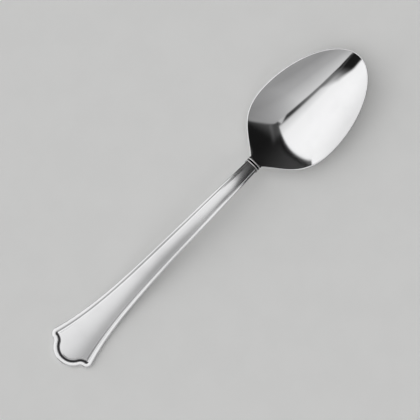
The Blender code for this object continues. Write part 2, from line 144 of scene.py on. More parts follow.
# Dark slot between the bright panel and the grey one
SLOT_TOP = (-0.38, -0.62, -0.205, 0.05)
SLOT_TOP_RISE = (-0.55, -1.1, 0.0, 0.19)
SLOT_TOP_BLUR = (-0.35, -0.5, 0.045, 0.13)
SLOT_TOP_SHARPER = (-0.6, -0.9, 0.0, 0.04)
SLOT_FOOT = (0.0, -0.2, -0.322, -0.309)
SLOT_FOOT_FALL = (-0.45, -0.85, 0.0, 0.048)
SLOT_FOOT_STEEP = (-0.85, -1.4, 0.0, 0.158)
SLOT_LEVEL = (0.3, -0.35, 0.045, 0.2)
SLOT_DARK = (-0.96, -0.62, 0.055, 1.0)
SLOT_DARK_FROM = 0.1
SLOT_DARK_SLANT = 0.3
SLOT_END = (0.537, 0.497)
# Lighter places in the slot: a fan, a streak, and a bridge from panel to panel
FAN_ACROSS = (-0.24, -0.1)
FAN_START = (-0.84, -0.5)
FAN_END = (-0.3, -0.42, 0.0, 0.3)
STREAK_FROM = 0.235
STREAK_BEND = (-0.85, -1.35, 0.0, 0.2)
STREAK_HALF_WIDTH = 0.05
STREAK_LEVEL = (-0.55, -0.8, 0.0, 0.05)
BRIDGE_ALONG = 0.468
BRIDGE_FROM = 0.24
BRIDGE_SLANT = 1.47
BRIDGE_LEVEL = (-0.036, 0.036, 0.0, 0.55)
# Bright panel, with a bowed end
BRIGHT_LEVEL = (-0.22, 0.05, 0.687, 1.06)
BRIGHT_RISE = (0.05, 0.5, 0.0, 0.064)
BRIGHT_FALL = (0.9, 2.6, 0.0, 0.183)
BOW_MIDDLE = 0.26
BOW_REACH = 0.929
BOW_CURVE = 0.295
BOW_ROUND = 0.065
BOW_LEAST = 0.42
BRIGHT_END_BLUR = (-0.01, 0.01)
# Grey panel
GREY_LEVEL = (-0.36, -1.0, 0.72, 0.466)
GREY_FALL = (-1.0, -2.0, 0.0, 0.116)
GREY_FADE = (0.0, 0.6, 1.0, 0.53)
GREY_EDGE_BLUR = (-0.025, 0.025)
GREY_END = (-0.25, -0.43, 0.545, 0.631)
GREY_END_FAR = (-0.43, -0.75, 0.0, 0.083)
GREY_END_BLUR = (-0.028, 0.028)
# Dim room past the ends of both panels
ROOM_LEVEL = (-0.15, 0.7, 0.0096, 0.055)
ROOM_EDGE = (0.05, 0.09, 0.09, 1.0)
NEAR_START = (0.467, 0.537)
NEAR_END = (0.793, 0.628)
NEAR_LEVEL = (0.06, -0.1, 0.0, 0.067)
GLINT_ALONG = 0.695
GLINT_FROM = 0.2
GLINT_SLANT = 0.4
GLINT_HALF_WIDTH = 0.03
GLINT_START = (-0.44, -0.34)
GLINT_LEVEL = (0.06, -0.12, 0.0, 0.05)
FAR_LEVEL = (1.25, 2.1, 0.0, 0.45)


def size(name, description, millimetres):
    """Length in the panel, given in millimetres."""
    return FloatProperty(
        name=name, description=description, default=millimetres * MM, precision=5, unit="LENGTH"
    )


def turn(name, description, degrees):
    """Angle in the panel, given in degrees."""
    return FloatProperty(
        name=name, description=description, default=math.radians(degrees), unit="ROTATION"
    )


def share(name, description, value):
    """Plain number in the panel."""
    return FloatProperty(name=name, description=description, default=value, precision=3)


def colour(name, description, value):
    """Colour in the panel."""
    return FloatVectorProperty(
        name=name, description=description, default=value, size=3, min=0.0, max=1.0, subtype="COLOR"
    )


class SideViewSizes(PropertyGroup):
    """Side view that the three pieces share."""

    handle_length: size("Handle length", "From its end to the collar", 118.3)
    collar_length: size("Collar length", "Along the stem", 2.2)
    joint_gap: size("Joint gap", "Room for the braze between two pieces", 0.3)
    end_thickness: size("End thickness", "Of the handle where it rests", 2.0)
    neck_depth: size("Neck depth", "Of the stem and the neck at the collar", 4.6)
    foot_length: size("Foot length", "Flat part of the handle that rests", 14.0)
    foot_reach: size("Foot reach", "How slowly the handle leaves the table", 34.0)
    arch_height: size("Arch height", "Highest place of the handle", 16.0)
    arch_before_collar: size("Arch before collar", "From the arch to the collar", 24.7)
    arch_rear_reach: size("Arch rear reach", "Roundness of the arch behind", 18.0)
    arch_front_reach: size("Arch front reach", "Roundness of the arch ahead", 19.0)
    deepest_before_lip: size("Deepest before lip", "From the deepest place to the lip", 32.5)
    floor_thickness: size("Floor thickness", "Of the bowl at its deepest place", 1.8)
    deepest_rear_reach: size("Deepest rear reach", "Roundness of the bowl behind", 20.0)
    deepest_front_reach: size("Deepest front reach", "Roundness of the bowl ahead", 10.3)
    lip_height: size("Lip height", "Of the front of the bowl", 10.8)
    lip_angle: turn("Lip angle", "Slope of the inside at the lip", 30.5)
    lip_reach: size("Lip reach", "How far that slope runs back", 10.4)


class HandleSizes(PropertyGroup):
    """Plan of the handle and its moulded border."""

    end_width: size("End width", "Across the two shoulder lobes", 22.8)
    lobe_radius: size("Lobe radius", "Of the middle lobe", 8.7)
    shoulder_setback: size("Shoulder setback", "From the end to the shoulder lobes", 8.2)
    shoulder_radius: size("Shoulder radius", "Of the shoulder lobes", 2.84)
    notch_radius: size("Notch radius", "Between two lobes", 1.5)
    shoulder_turn: turn("Shoulder turn", "Slope of the side behind a shoulder lobe", 17.4)
    flare_reach: size("Flare reach", "How far that slope runs on", 24.2)
    taper_reach: size("Taper reach", "How far the slope of the stem runs back", 59.7)
    taper_slope: share("Taper slope", "Slope of the stem's side at the collar", 0.034)
    stem_width: size("Stem width", "Across the stem at the collar", 6.0)
    end_border: size("End border", "From the edge to the groove at the end", 2.3)
    neck_border: size("Neck border", "From the edge to the groove at the collar", 1.05)
    bead_crest: share("Bead crest", "From the edge, as a share of the border", 0.28)
    bead_inner: share("Bead inner", "Where the bead falls to the groove, as a share of the border", 0.66)
    bead_drop: share("Bead drop", "Height of the rounded edge, as a share of its width", 0.9)
    end_groove: size("End groove", "Depth of the groove at the end", 0.65)
    neck_groove: size("Neck groove", "Depth of the groove at the collar", 0.2)
    lip_end: share("Lip end", "Where the lip meets the field, as a share of the border", 1.5)
    lip_drop: share("Lip drop", "Edge of the field below the crest, as a share of the groove", 0.3)
    end_crown: size("End crown", "Rise of the field at the end", 0.58)
    neck_crown: size("Neck crown", "Rise of the field at the collar", 0.1)
    end_dome: size("End dome", "Fall of the field towards the end", 0.35)
    # Share of the grooves' painted shade and extra roughness that is kept along the sides
    side_shade_and_roughness: share("Side residue", "Dullness of the groove beside the lobed end", 0.3)
    side_share: share("Side share", "Upright part of the edge's depth", 0.68)
    back_round: size("Back round", "Rounding along the back", 1.2)


class BowlSizes(PropertyGroup):
    """Plan of the bowl, its edge and its heel."""

    width: size("Width", "Across the bowl", 40.8)
    widest_after_neck: size("Widest after neck", "From the neck to the widest place", 26.4)
    neck_width: size("Neck width", "Across the neck", 6.6)
    flare_angle: turn("Flare angle", "Of the sides as they leave the neck", 49.4)
    flare_reach: size("Flare reach", "How far that slope runs on", 10.7)
    side_rear_reach: size("Side rear reach", "Roundness behind the widest place", 17.0)
    side_front_reach: size("Side front reach", "Roundness ahead of the widest place", 19.4)
    lip_side_reach: size("Lip side reach", "Roundness of the lip in plan", 10.9)
    rim_neck_reach: size("Rim neck reach", "How far the edge follows the neck down", 8.0)
    rim_lip_reach: size("Rim lip reach", "How far the edge runs level from the lip", 30.0)
    rim_sag: size("Rim sag", "How far the edge dips behind the lip", 0.6)
    rim_width: size("Rim width", "Rounded edge of the bowl", 0.6)
    rim_neck_width: size("Rim neck width", "Rounded edge beside the neck", 0.25)
    rim_neck_fade: size("Rim neck fade", "How far the narrower edge runs on from the neck", 14.0)
    rim_flatness: share("Rim flatness", "Power of the edge's round, flatter below 1", 0.45)
    rim_edge: size("Rim edge", "Thickness at the edge", 1.3)
    heel_length: size("Heel length", "Thick metal under the neck, along the bowl", 26.0)
    heel_half_width: size("Heel half width", "Half width of that metal", 7.0)
    rest_flat: size("Rest flat", "Depth ground off where the bowl rests", 0.15)


class JointSizes(PropertyGroup):
    """Tang of the bowl and beads of the collar."""

    tang_width: size("Tang width", "Across the tang", 2.8)
    tang_height: size("Tang height", "Of the tang", 1.8)
    tang_grip: size("Tang grip", "Length of tang inside the handle", 9.0)
    tang_root: size("Tang root", "Length of tang inside the neck", 2.0)
    tang_chamfer: size("Tang chamfer", "Along the tang's edges", 0.35)
    bead_height: size("Bead height", "Of the collar's beads", 0.2)
    bead_width: size("Bead width", "Of the collar's beads", 0.52)
    bead_spacing: size("Bead spacing", "Between the crests of the collar's beads", 1.36)
    squareness: share("Squareness", "2 is an oval, more is squarer", 3.0)


class SteelFinish(PropertyGroup):
    """Polish of the steel, and the shade painted into its grooves and its field."""

    mirror: colour("Mirror", "Colour of the mirror polish", (0.80, 0.80, 0.806))
    # Painted shade: the brushed field's colour is a darker copy of the mirror steel, for the dimmer light
    # on the handle's field
    satin_and_shade: colour("Satin", "Colour of the brushed field", (0.73, 0.73, 0.736))
    worn: share("Worn", "Tone of patches where polish has dulled", 0.93)
    # Painted shade: a near-black colour taken by the handle's grooves and the collar's valleys
    groove_shade: colour("Groove", "Colour of the dull metal in grooves", (0.04, 0.04, 0.042))
    bowl_polish: share("Bowl roughness", "Of the mirror polish", 0.06)
    handle_polish: share("Handle roughness", "Of its beads and back", 0.15)
    held_brush: share("Brush", "Extra roughness of the field where it is held", 0.13)
    neck_brush: share("Neck brush", "Extra roughness of the field at the neck", 0.05)
    held_from: size("Held from", "Where the brushing starts to fade, from the middle of the spoon", -10.0)
    held_to: size("Held to", "Where the brushing has faded, from the middle of the spoon", 12.0)
    collar_polish: share("Collar roughness", "Of the collar", 0.14)


class StudioSettings(PropertyGroup):
    """Floor and camera."""

    floor: colour("Floor", "Colour of the floor", (0.92, 0.92, 0.91))
    camera_height: size("Camera height", "Above the table", 2500.0)
    frame_width: size("Frame width", "Width of the picture at the spoon", 181.75)
    view_turn: turn("View turn", "Turn of the camera about the upright", -45.35)
    view_x: size("View X", "Middle of the picture along the spoon", -0.22)
    view_y: size("View Y", "Middle of the picture across the spoon", -0.58)


def cubic(points, t):
    """Point at t on a cubic Bezier curve."""
    first = points[0].lerp(points[1], t)
    middle = points[1].lerp(points[2], t)
    last = points[2].lerp(points[3], t)
    return first.lerp(middle, t).lerp(middle.lerp(last, t), t)


def cubic_tangent(points, t):
    """Direction of a cubic Bezier curve at t, not normalised."""
    p0, p1, p2, p3 = points
    return (p1 - p0) * (1 - t) ** 2 + (p2 - p1) * (2 * t * (1 - t)) + (p3 - p2) * t ** 2


def read_curve(segments, station):
    """Value and slope, at a station, of Bezier segments that run on along the spoon."""
    points = next((s for s in segments if station <= s[3].x), segments[-1])
    span = points[3].x - points[0].x
    t = min(max((station - points[0].x) / span, 0.0), 1.0)
    for _ in range(CURVE_STEPS):
        speed = max(3 * cubic_tangent(points, t).x, WELD)
        t = min(max(t + (station - cubic(points, t).x) / speed, 0.0), 1.0)
    tangent = cubic_tangent(points, t)
    slope = tangent.y / tangent.x if abs(tangent.x) > WELD else 0.0
    return cubic(points, t).y, slope


def ease(value):
    """Ease from 0 to 1."""
    value = min(max(value, 0.0), 1.0)
    return value * value * (3 - 2 * value)


def swell(value):
    """Half a cosine wave from 0 to 1."""
    return (1 - math.cos(math.pi * value)) / 2


def roll_off(value, start, leaving, end):
    """Cubic from a start level, left at a given slope, to an end level that is reached flat."""
    return start + (end - start) * ease(value) + leaving * value * (1 - value) ** 2


def arc(centre, radius, sweep, steps, inward, stretch):
    """Points on an arc, each with its direction into the metal and its stretch of the outline.

    The sweep is the first and the last angle, and inward is -1 on a lobe and 1 in a notch.
    """
    start, end = sweep
    points = []
    for step in range(steps):
        angle = start + (end - start) * step / steps
        spoke = Vector((math.cos(angle), math.sin(angle)))
        points.append((centre + spoke * radius, spoke * inward, stretch))
    return points


class SpoonShape:
    """Curves and surfaces of the spoon, worked out from the sizes in the panel."""

    def __init__(self, scene):
        self.side = scene.spoon_side
        self.handle = scene.spoon_handle
        self.bowl = scene.spoon_bowl
        self.joint = scene.spoon_joint
        side = self.side
        self.neck = side.handle_length + side.collar_length + 2 * side.joint_gap
        self.collar = side.handle_length + side.joint_gap + side.collar_length / 2
        self.deepest = LENGTH - side.deepest_before_lip
        self.spine = self.spine_segments()
        self.neck_height, self.neck_slope = read_curve(self.spine, self.neck)
        self.collar_height, self.collar_slope = read_curve(self.spine, self.collar)
        self.rim = self.rim_segments()
        self.bowl_side = self.bowl_side_segments()
        handle = self.handle
        self.shoulder = Vector((handle.shoulder_setback, handle.end_width / 2 - handle.shoulder_radius))
        self.facing = Vector((math.sin(handle.shoulder_turn), math.cos(handle.shoulder_turn)))
        self.flare = self.flare_segments()
        self.notch = self.notch_centre()

    def spine_segments(self):
        """Upper centre line in side view: a flat foot, the handle's arch, and the inside of the bowl."""
        side = self.side
        foot = Vector((0.0, side.end_thickness))
        foot_end = Vector((side.foot_length, side.end_thickness))
        arch = Vector((self.collar - side.arch_before_collar, side.arch_height))
        deepest = Vector((self.deepest, side.floor_thickness))
        lip = Vector((LENGTH, side.lip_height))
        along = Vector((1.0, 0.0))
        up_to_lip = Vector((math.cos(side.lip_angle), math.sin(side.lip_angle)))
        rear = deepest - along * side.deepest_rear_reach
        ahead = deepest + along * side.deepest_front_reach
        return [
            [foot, foot.lerp(foot_end, 1 / 3), foot.lerp(foot_end, 2 / 3), foot_end],
            [foot_end, foot_end + along * side.foot_reach, arch - along * side.arch_rear_reach, arch],
            [arch, arch + along * side.arch_front_reach, rear, deepest],
            [deepest, ahead, lip - up_to_lip * side.lip_reach, lip],
        ]

    def rim_segments(self):
        """Edge of the bowl in side view, from the neck to the lip."""
        neck = Vector((self.neck, self.neck_height))
        lip = Vector((LENGTH, self.side.lip_height))
        leaving = neck + Vector((1.0, self.neck_slope)) * self.bowl.rim_neck_reach
        return [[neck, leaving, lip - Vector((self.bowl.rim_lip_reach, self.bowl.rim_sag)), lip]]

    def bowl_side_segments(self):
        """Half plan of the bowl, from the neck past the widest place to the lip."""
        bowl = self.bowl
        neck = Vector((self.neck, bowl.neck_width / 2))
        widest = Vector((self.neck + bowl.widest_after_neck, bowl.width / 2))
        lip = Vector((LENGTH, 0.0))
        along = Vector((1.0, 0.0))
        flare = Vector((math.cos(bowl.flare_angle), math.sin(bowl.flare_angle)))
        lip_side = lip + Vector((0.0, bowl.lip_side_reach))
        return [
            [neck, neck + flare * bowl.flare_reach, widest - along * bowl.side_rear_reach, widest],
            [widest, widest + along * bowl.side_front_reach, lip_side, lip],
        ]

    def flare_segments(self):
        """Half plan of the handle from a shoulder lobe to the collar."""
        handle = self.handle
        start = self.shoulder + self.facing * handle.shoulder_radius
        stem = Vector((self.collar, handle.stem_width / 2))
        leaving = start + Vector((self.facing.y, -self.facing.x)) * handle.flare_reach
        arriving = stem - Vector((1.0, -handle.taper_slope)) * handle.taper_reach
        return [[start, leaving, arriving, stem]]

    def joint_frame(self, along, lift):
        """Matrix of the joint: X along the stem, Z out of its top, from the spine over the collar."""
        place = Vector((self.collar + END_X, 0.0, self.collar_height))
        tilt = Matrix.Rotation(-math.atan(self.collar_slope), 4, "Y")
        return Matrix.Translation(place) @ tilt @ Matrix.Translation((along, 0, lift))

    def flare_width(self, station):
        """Half width of the handle and its share of the end's width, with no lobes."""
        start, stem = self.flare[0][0], self.flare[0][3]
        half_width = read_curve(self.flare, max(station, start.x))[0]
        return half_width, (half_width - stem.y) / (start.y - stem.y)

    def border(self, end_share):
        """Width from the edge to the groove, and depth of the groove."""
        handle = self.handle
        width = handle.neck_border + (handle.end_border - handle.neck_border) * end_share
        return width, handle.neck_groove + (handle.end_groove - handle.neck_groove) * end_share

    def field_level(self, station, across):
        """Crowned field inside the border, measured from the crest of the bead."""
        half_width, end_share = self.flare_width(station)
        handle = self.handle
        width, depth = self.border(end_share)
        crown = handle.neck_crown + (handle.end_crown - handle.neck_crown) * end_share
        edge = max(half_width - handle.lip_end * width, WELD)
        drop = handle.lip_drop * depth
        dome = handle.lobe_radius - handle.lip_end * handle.end_border
        behind = max(handle.lobe_radius - station, 0.0) / dome
        return crown * (1 - (across / edge) ** 2) - handle.end_dome * behind ** 2 - drop

    def handle_outline(self):
        """Half plan of the handle from its tip to the collar: point, direction inwards, stretch."""
        handle = self.handle
        lobe = Vector((handle.lobe_radius, 0.0))
        lobe_end = math.atan2(self.notch.y - lobe.y, self.notch.x - lobe.x)
        to_shoulder = self.shoulder - self.notch
        notch_end = math.atan2(to_shoulder.y, to_shoulder.x)
        shoulder_end = math.pi / 2 - handle.shoulder_turn
        notch_sweep = (lobe_end - math.pi, notch_end)
        shoulder_sweep = (notch_end + math.pi, shoulder_end)
        outline = arc(lobe, handle.lobe_radius, (math.pi, lobe_end), LOBE_STEPS, -1, "lobe")
        outline += arc(self.notch, handle.notch_radius, notch_sweep, NOTCH_STEPS, 1, "lobe")
        outline += arc(self.shoulder, handle.shoulder_radius, shoulder_sweep, SHOULDER_STEPS, -1, "corner")
        start, stem = self.flare[0][0], self.flare[0][3]
        steps = math.ceil((stem.x - start.x) / STEM_STEP)
        for step in range(steps + 1):
            station = start.x + (stem.x - start.x) * step / steps
            half_width, slope = read_curve(self.flare, station)
            outline.append((Vector((station, half_width)), Vector((slope, -1.0)).normalized(), "side"))
        return outline

    def notch_centre(self):
        """Centre of the notch, whose circle touches both lobes from outside."""
        handle = self.handle
        lobe = Vector((handle.lobe_radius, 0.0))
        span = self.shoulder - lobe
        to_lobe = handle.lobe_radius + handle.notch_radius
        to_shoulder = handle.shoulder_radius + handle.notch_radius
        along = (span.length_squared + to_lobe ** 2 - to_shoulder ** 2) / (2 * span.length)
        beside = math.sqrt(to_lobe ** 2 - along ** 2)
        across = Vector((-span.y, span.x)) / span.length
        return lobe + span.normalized() * along + across * beside

    def mitre(self, offset):
        """Place inside a shoulder lobe that is equally far from the side and from the notch."""
        start = self.flare[0][0]
        along = Vector((self.facing.y, -self.facing.x))
        from_notch = start - self.facing * offset - self.notch
        reach = self.handle.notch_radius + offset
        half = from_notch.dot(along)
        root = math.sqrt(max(half ** 2 - from_notch.length_squared + reach ** 2, 0.0))
        slide = min(root - half, -root - half, key=abs)
        return start - self.facing * offset + along * slide

    def border_place(self, point, inward, stretch, offset):
        """Place at a distance inside the edge, held at the mitre of the shoulder."""
        place = point + inward * offset
        if stretch == "corner":
            past = offset > self.handle.shoulder_radius
        elif stretch == "lobe":
            past = (self.flare[0][0] - place).dot(self.facing) < offset - WELD
        else:
            past = (place - self.notch).length - self.handle.notch_radius < offset - WELD
        return self.mitre(offset) if past else place

    def rib_centre(self, station):
        """Station where a rib meets the centre line: ribs of the lobed end fan out from its middle."""
        handle = self.handle
        fan_start = handle.lip_end * handle.end_border
        fan_end = 2 * handle.lobe_radius
        if station >= fan_end:
            return station
        spread = (fan_end - handle.lobe_radius) / (fan_end - fan_start)
        return handle.lobe_radius + (station - fan_start) * spread

    def handle_rib(self, point, inward, stretch):
        """One rib of the handle, over the top from the centre line to the edge and along the back.

        Each spot of it has a place in space, its share of the groove and its share of the field, the two
        places where shade is painted into the steel.
        """
        handle = self.handle
        width, depth = self.border(self.flare_width(point.x)[1])
        crest = handle.bead_crest * width
        drop = handle.bead_drop * crest
        lip_end = handle.lip_end * width
        field_edge = self.border_place(point, inward, stretch, lip_end)
        middle = Vector((self.rib_centre(field_edge.x), 0.0))
        edge_level = self.field_level(field_edge.x, field_edge.y)
        beyond = self.border_place(point, inward, stretch, lip_end - SLOPE_STEP)
        leaving = (self.field_level(beyond.x, beyond.y) - edge_level) / SLOPE_STEP * (lip_end - width)
        # The grooves along the sides keep only part of their painted shade and extra roughness
        hold = handle.side_shade_and_roughness if stretch == "side" else 1.0
        plan = []
        for row in range(FIELD_ROWS):
            place = middle.lerp(field_edge, row / FIELD_ROWS)
            plan.append((place, self.field_level(place.x, place.y), 0.0, 1.0))
        for row in range(LIP_ROWS):
            down = row / LIP_ROWS
            place = self.border_place(point, inward, stretch, lip_end + (width - lip_end) * down)
            level = roll_off(down, edge_level, leaving, -depth)
            plan.append((place, level, hold * ease(down), 1 - ease(down)))
        inner = handle.bead_inner * width
        for row in range(GROOVE_ROWS + 1):
            up = row / GROOVE_ROWS
            place = self.border_place(point, inward, stretch, width + (inner - width) * up)
            plan.append((place, -depth * (1 - swell(up)), hold * (1 - swell(up)), 0.0))
        for row in range(EDGE_ROWS):
            angle = math.pi / 2 * row / EDGE_ROWS
            place = point + inward * crest * (1 - math.sin(angle))
            plan.append((place, drop * (math.cos(angle) - 1), 0.0, 0.0))
        side = self.side
        growth = max(point.x - side.foot_length, 0.0) / (self.collar - side.foot_length)
        thickness = side.end_thickness + (side.neck_depth - side.end_thickness) * growth ** 2
        upright = thickness * handle.side_share
        for row in range(SIDE_ROWS):
            plan.append((point, -drop - (upright - drop) * row / SIDE_ROWS, 0.0, 0.0))
        for row in range(ROUND_ROWS):
            angle = math.pi / 2 * row / ROUND_ROWS
            place = point + inward * handle.back_round * (1 - math.cos(angle))
            plan.append((place, -upright - (thickness - upright) * math.sin(angle), 0.0, 0.0))
        back_edge = point + inward * handle.back_round
        for row in range(BACK_ROWS + 1):
            plan.append((back_edge.lerp(middle, row / BACK_ROWS), -thickness, 0.0, 0.0))
        return [(self.on_spine(place, level), groove, field) for place, level, groove, field in plan]

    def on_spine(self, place, level):
        """Place in space at a level square to the spine."""
        height, slope = read_curve(self.spine, place.x)
        tilt = math.atan(slope)
        return Vector((place.x + END_X - level * math.sin(tilt), place.y, height + level * math.cos(tilt)))

    def bead_share(self, along):
        """Height of the collar's beads at a place along it, as a share of their full height."""
        from_crest = abs(abs(along) - self.joint.bead_spacing / 2)
        beside = min(2 * from_crest / self.joint.bead_width, 1.0)
        return math.sqrt(1 - beside ** 2)

    def half_width(self, station):
        """Half width of the bowl in plan, with a short even neck behind it."""
        if station <= self.neck:
            return self.bowl.neck_width / 2
        return read_curve(self.bowl_side, station)[0]

    def rim_height(self, station):
        """Top of the bowl's edge."""
        if station <= self.neck:
            return self.neck_height + self.neck_slope * (station - self.neck)
        return read_curve(self.rim, station)[0]

    def width_share(self, station, across):
        """Distance from the centre line as a share of the bowl's half width."""
        half_width = self.half_width(station)
        return min(abs(across) / half_width, 1.0) if half_width > WELD else 0.0

    def inside_height(self, station, across):
        """Inside of the bowl, rising from its centre line to the rim."""
        centre = read_curve(self.spine, station)[0]
        return centre + (self.rim_height(station) - centre) * self.width_share(station, across) ** 2

    def metal_depth(self, station, across):
        """Upright thickness of the bowl: thinner to the rim, and thick over the heel behind the neck."""
        side, bowl = self.side, self.bowl
        ahead = max(station - self.deepest, 0.0) / side.deepest_before_lip
        to_rim = ahead ** 2 + (1 - ahead ** 2) * self.width_share(station, across) ** 2
        floor = side.floor_thickness + bowl.rest_flat
        shell = floor + (bowl.rim_edge - floor) * to_rim
        heel = side.neck_depth * math.hypot(1.0, self.neck_slope) - floor
        fade = 1 - ease((station - self.neck) / bowl.heel_length)
        beside = max(1 - (across / bowl.heel_half_width) ** 2, 0.0)
        return shell + heel * fade * beside ** 2

    def outside_height(self, station, across):
        """Underside of the bowl, ground flat where it rests."""
        return max(self.inside_height(station, across) - self.metal_depth(station, across), 0.0)

    def bowl_outline(self):
        """Half plan of the bowl from the lip to the back of the neck: point and direction inwards."""
        outline = []
        for points in reversed(self.bowl_side):
            for step in range(BOWL_SIDE_STEPS):
                t = 1 - step / BOWL_SIDE_STEPS
                tangent = cubic_tangent(points, t).normalized()
                outline.append((cubic(points, t), Vector((tangent.y, -tangent.x))))
        neck = self.bowl_side[0][0]
        outline.append((neck, Vector((1.0, -1.0)).normalized()))
        # The neck runs on far enough for the slanting cut at the collar
        tail = self.side.neck_depth * (TAIL_MARGIN + abs(math.sin(math.atan(self.collar_slope))))
        neck_end = neck - Vector((tail, 0.0))
        for step in range(1, TAIL_STEPS + 1):
            outline.append((neck.lerp(neck_end, step / TAIL_STEPS), Vector((0.0, -1.0))))
        for step in range(1, NECK_STEPS + 1):
            across = neck_end.lerp(Vector((neck_end.x, 0.0)), step / NECK_STEPS)
            outline.append((across, Vector((0.0, 0.0))))
        return outline

    def bowl_rib(self, point, inward):
        """Places of one rib of the bowl, from the deepest point over the rim and back underneath."""
        centre = Vector((self.deepest, 0.0))
        bowl = self.bowl
        fade = ease((point.x - self.neck) / bowl.rim_neck_fade)
        width = bowl.rim_neck_width + (bowl.rim_width - bowl.rim_neck_width) * fade
        inner = point + inward * width
        inner_height = self.inside_height(inner.x, inner.y)
        rim = self.rim_height(point.x)
        places = []
        for row in range(INSIDE_ROWS):
            place = centre.lerp(inner, row / INSIDE_ROWS)
            places.append((place, self.inside_height(place.x, place.y)))
        for row in range(RIM_ROWS + 1):
            angle = math.pi * row / RIM_ROWS
            place = point + inward * width / 2 * (1 + math.cos(angle))
            start = inner_height if angle < math.pi / 2 else rim - width / 2
            rise = max(math.sin(angle), 0.0) ** bowl.rim_flatness
            places.append((place, start + (rim - start) * rise))
        for row in range(OUTSIDE_ROWS + 1):
            place = point.lerp(centre, row / OUTSIDE_ROWS)
            places.append((place, self.outside_height(place.x, place.y)))
        return [Vector((place.x + END_X, place.y, height)) for place, height in places]


def clear_selection():
    """Leave edit mode and select nothing."""
    if bpy.context.object is not None and bpy.context.object.mode != "OBJECT":
        bpy.ops.object.mode_set(mode="OBJECT")
    bpy.ops.object.select_all(action="DESELECT")


def take(piece):
    """Make one object the selected and active one."""
    clear_selection()
    piece.select_set(True)
    bpy.context.view_layer.objects.active = piece


def lay_sheet(name, ribs):
    """Grid of squares laid over half a form, rib by rib."""
    clear_selection()
    rows = len(ribs[0])
    bpy.ops.mesh.primitive_grid_add(x_subdivisions=rows - 1, y_subdivisions=len(ribs) - 1, size=1.0)
    piece = bpy.context.object
    piece.name = name
    piece.data.name = name
    for index, vertex in enumerate(piece.data.vertices):
        vertex.co = ribs[index // rows][index % rows]
    return piece


def close_half(piece, shape, way):
    """Mirror a half form about Y = 0, merge its double points and cut it square beside the collar.

    The way is -1 for the piece behind the collar and 1 for the piece ahead of it.
    """
    take(piece)
    mirror = piece.modifiers.new("other half", "MIRROR")
    mirror.use_axis = (False, True, False)
    mirror.merge_threshold = WELD
    bpy.ops.object.modifier_apply(modifier=mirror.name)
    bpy.ops.object.mode_set(mode="EDIT")
    bpy.ops.mesh.select_all(action="SELECT")
    bpy.ops.mesh.remove_doubles(threshold=WELD)
    bpy.ops.mesh.select_all(action="SELECT")
    bpy.ops.mesh.normals_make_consistent(inside=False)
    cut = shape.joint_frame(way * (shape.side.collar_length / 2 + shape.side.joint_gap), 0.0)
    outwards = cut.to_3x3() @ Vector((-way, 0.0, 0.0))
    bpy.ops.mesh.bisect(
        plane_co=cut.translation, plane_no=outwards, use_fill=True, clear_outer=True, threshold=WELD
    )
    bpy.ops.object.mode_set(mode="OBJECT")


def add_bar(name, shape, start, end, width, height, chamfer):
    """Flat bar along the joint's axis, in the middle of the neck's depth."""
    clear_selection()
    bpy.ops.mesh.primitive_cube_add(size=1.0)
    bar = bpy.context.object
    bar.name = name
    bpy.ops.transform.resize(value=(end - start, width, height))
    bar.matrix_world = shape.joint_frame((start + end) / 2, -shape.side.neck_depth / 2) @ bar.matrix_world
    bpy.ops.object.transform_apply(location=True, rotation=True, scale=True)
    if chamfer > 0.0:
        bpy.ops.object.mode_set(mode="EDIT")
        bpy.ops.mesh.select_all(action="SELECT")
        bpy.ops.mesh.bevel(offset=chamfer, segments=CHAMFER_STEPS, affect="EDGES")
        bpy.ops.object.mode_set(mode="OBJECT")
    return bar


def combine(piece, bar, operation):
    """Join a bar to a piece or cut it out, and remove the bar."""
    take(piece)
    modifier = piece.modifiers.new(operation.lower(), "BOOLEAN")
    modifier.operation = operation
    modifier.object = bar
    modifier.solver = "EXACT"
    bpy.ops.object.modifier_apply(modifier=modifier.name)
    mesh = bar.data
    bpy.data.objects.remove(bar)
    bpy.data.meshes.remove(mesh)


def socket_bar(shape):
    """Room for the tang in the collar and the handle, with the gap that the braze fills."""
    side, joint = shape.side, shape.joint
    end = side.collar_length / 2 + side.joint_gap
    start = -end - joint.tang_grip - side.joint_gap
    width = joint.tang_width + 2 * side.joint_gap
    height = joint.tang_height + 2 * side.joint_gap
    return add_bar("socket", shape, start, end, width, height, 0.0)


def paint(piece, name, values):
    """Give each point of a piece a value that its steel reads."""
    mask = piece.data.attributes.new(name, "FLOAT", "POINT")
    mask.data.foreach_set("value", values)


def finish_piece(piece, node, hairlines):
    """Shade a piece, give it its steel and put it in place of its solid."""
    take(piece)
    finish = bpy.context.scene.spoon_finish
    polish = getattr(finish, node + "_polish")
    bpy.ops.object.shade_smooth_by_angle(angle=SMOOTH_ANGLE)
    piece.data.materials.clear()
    piece.data.materials.append(polished_steel(node + " polish", finish, polish, hairlines))
    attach(piece, "root")
    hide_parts(node)


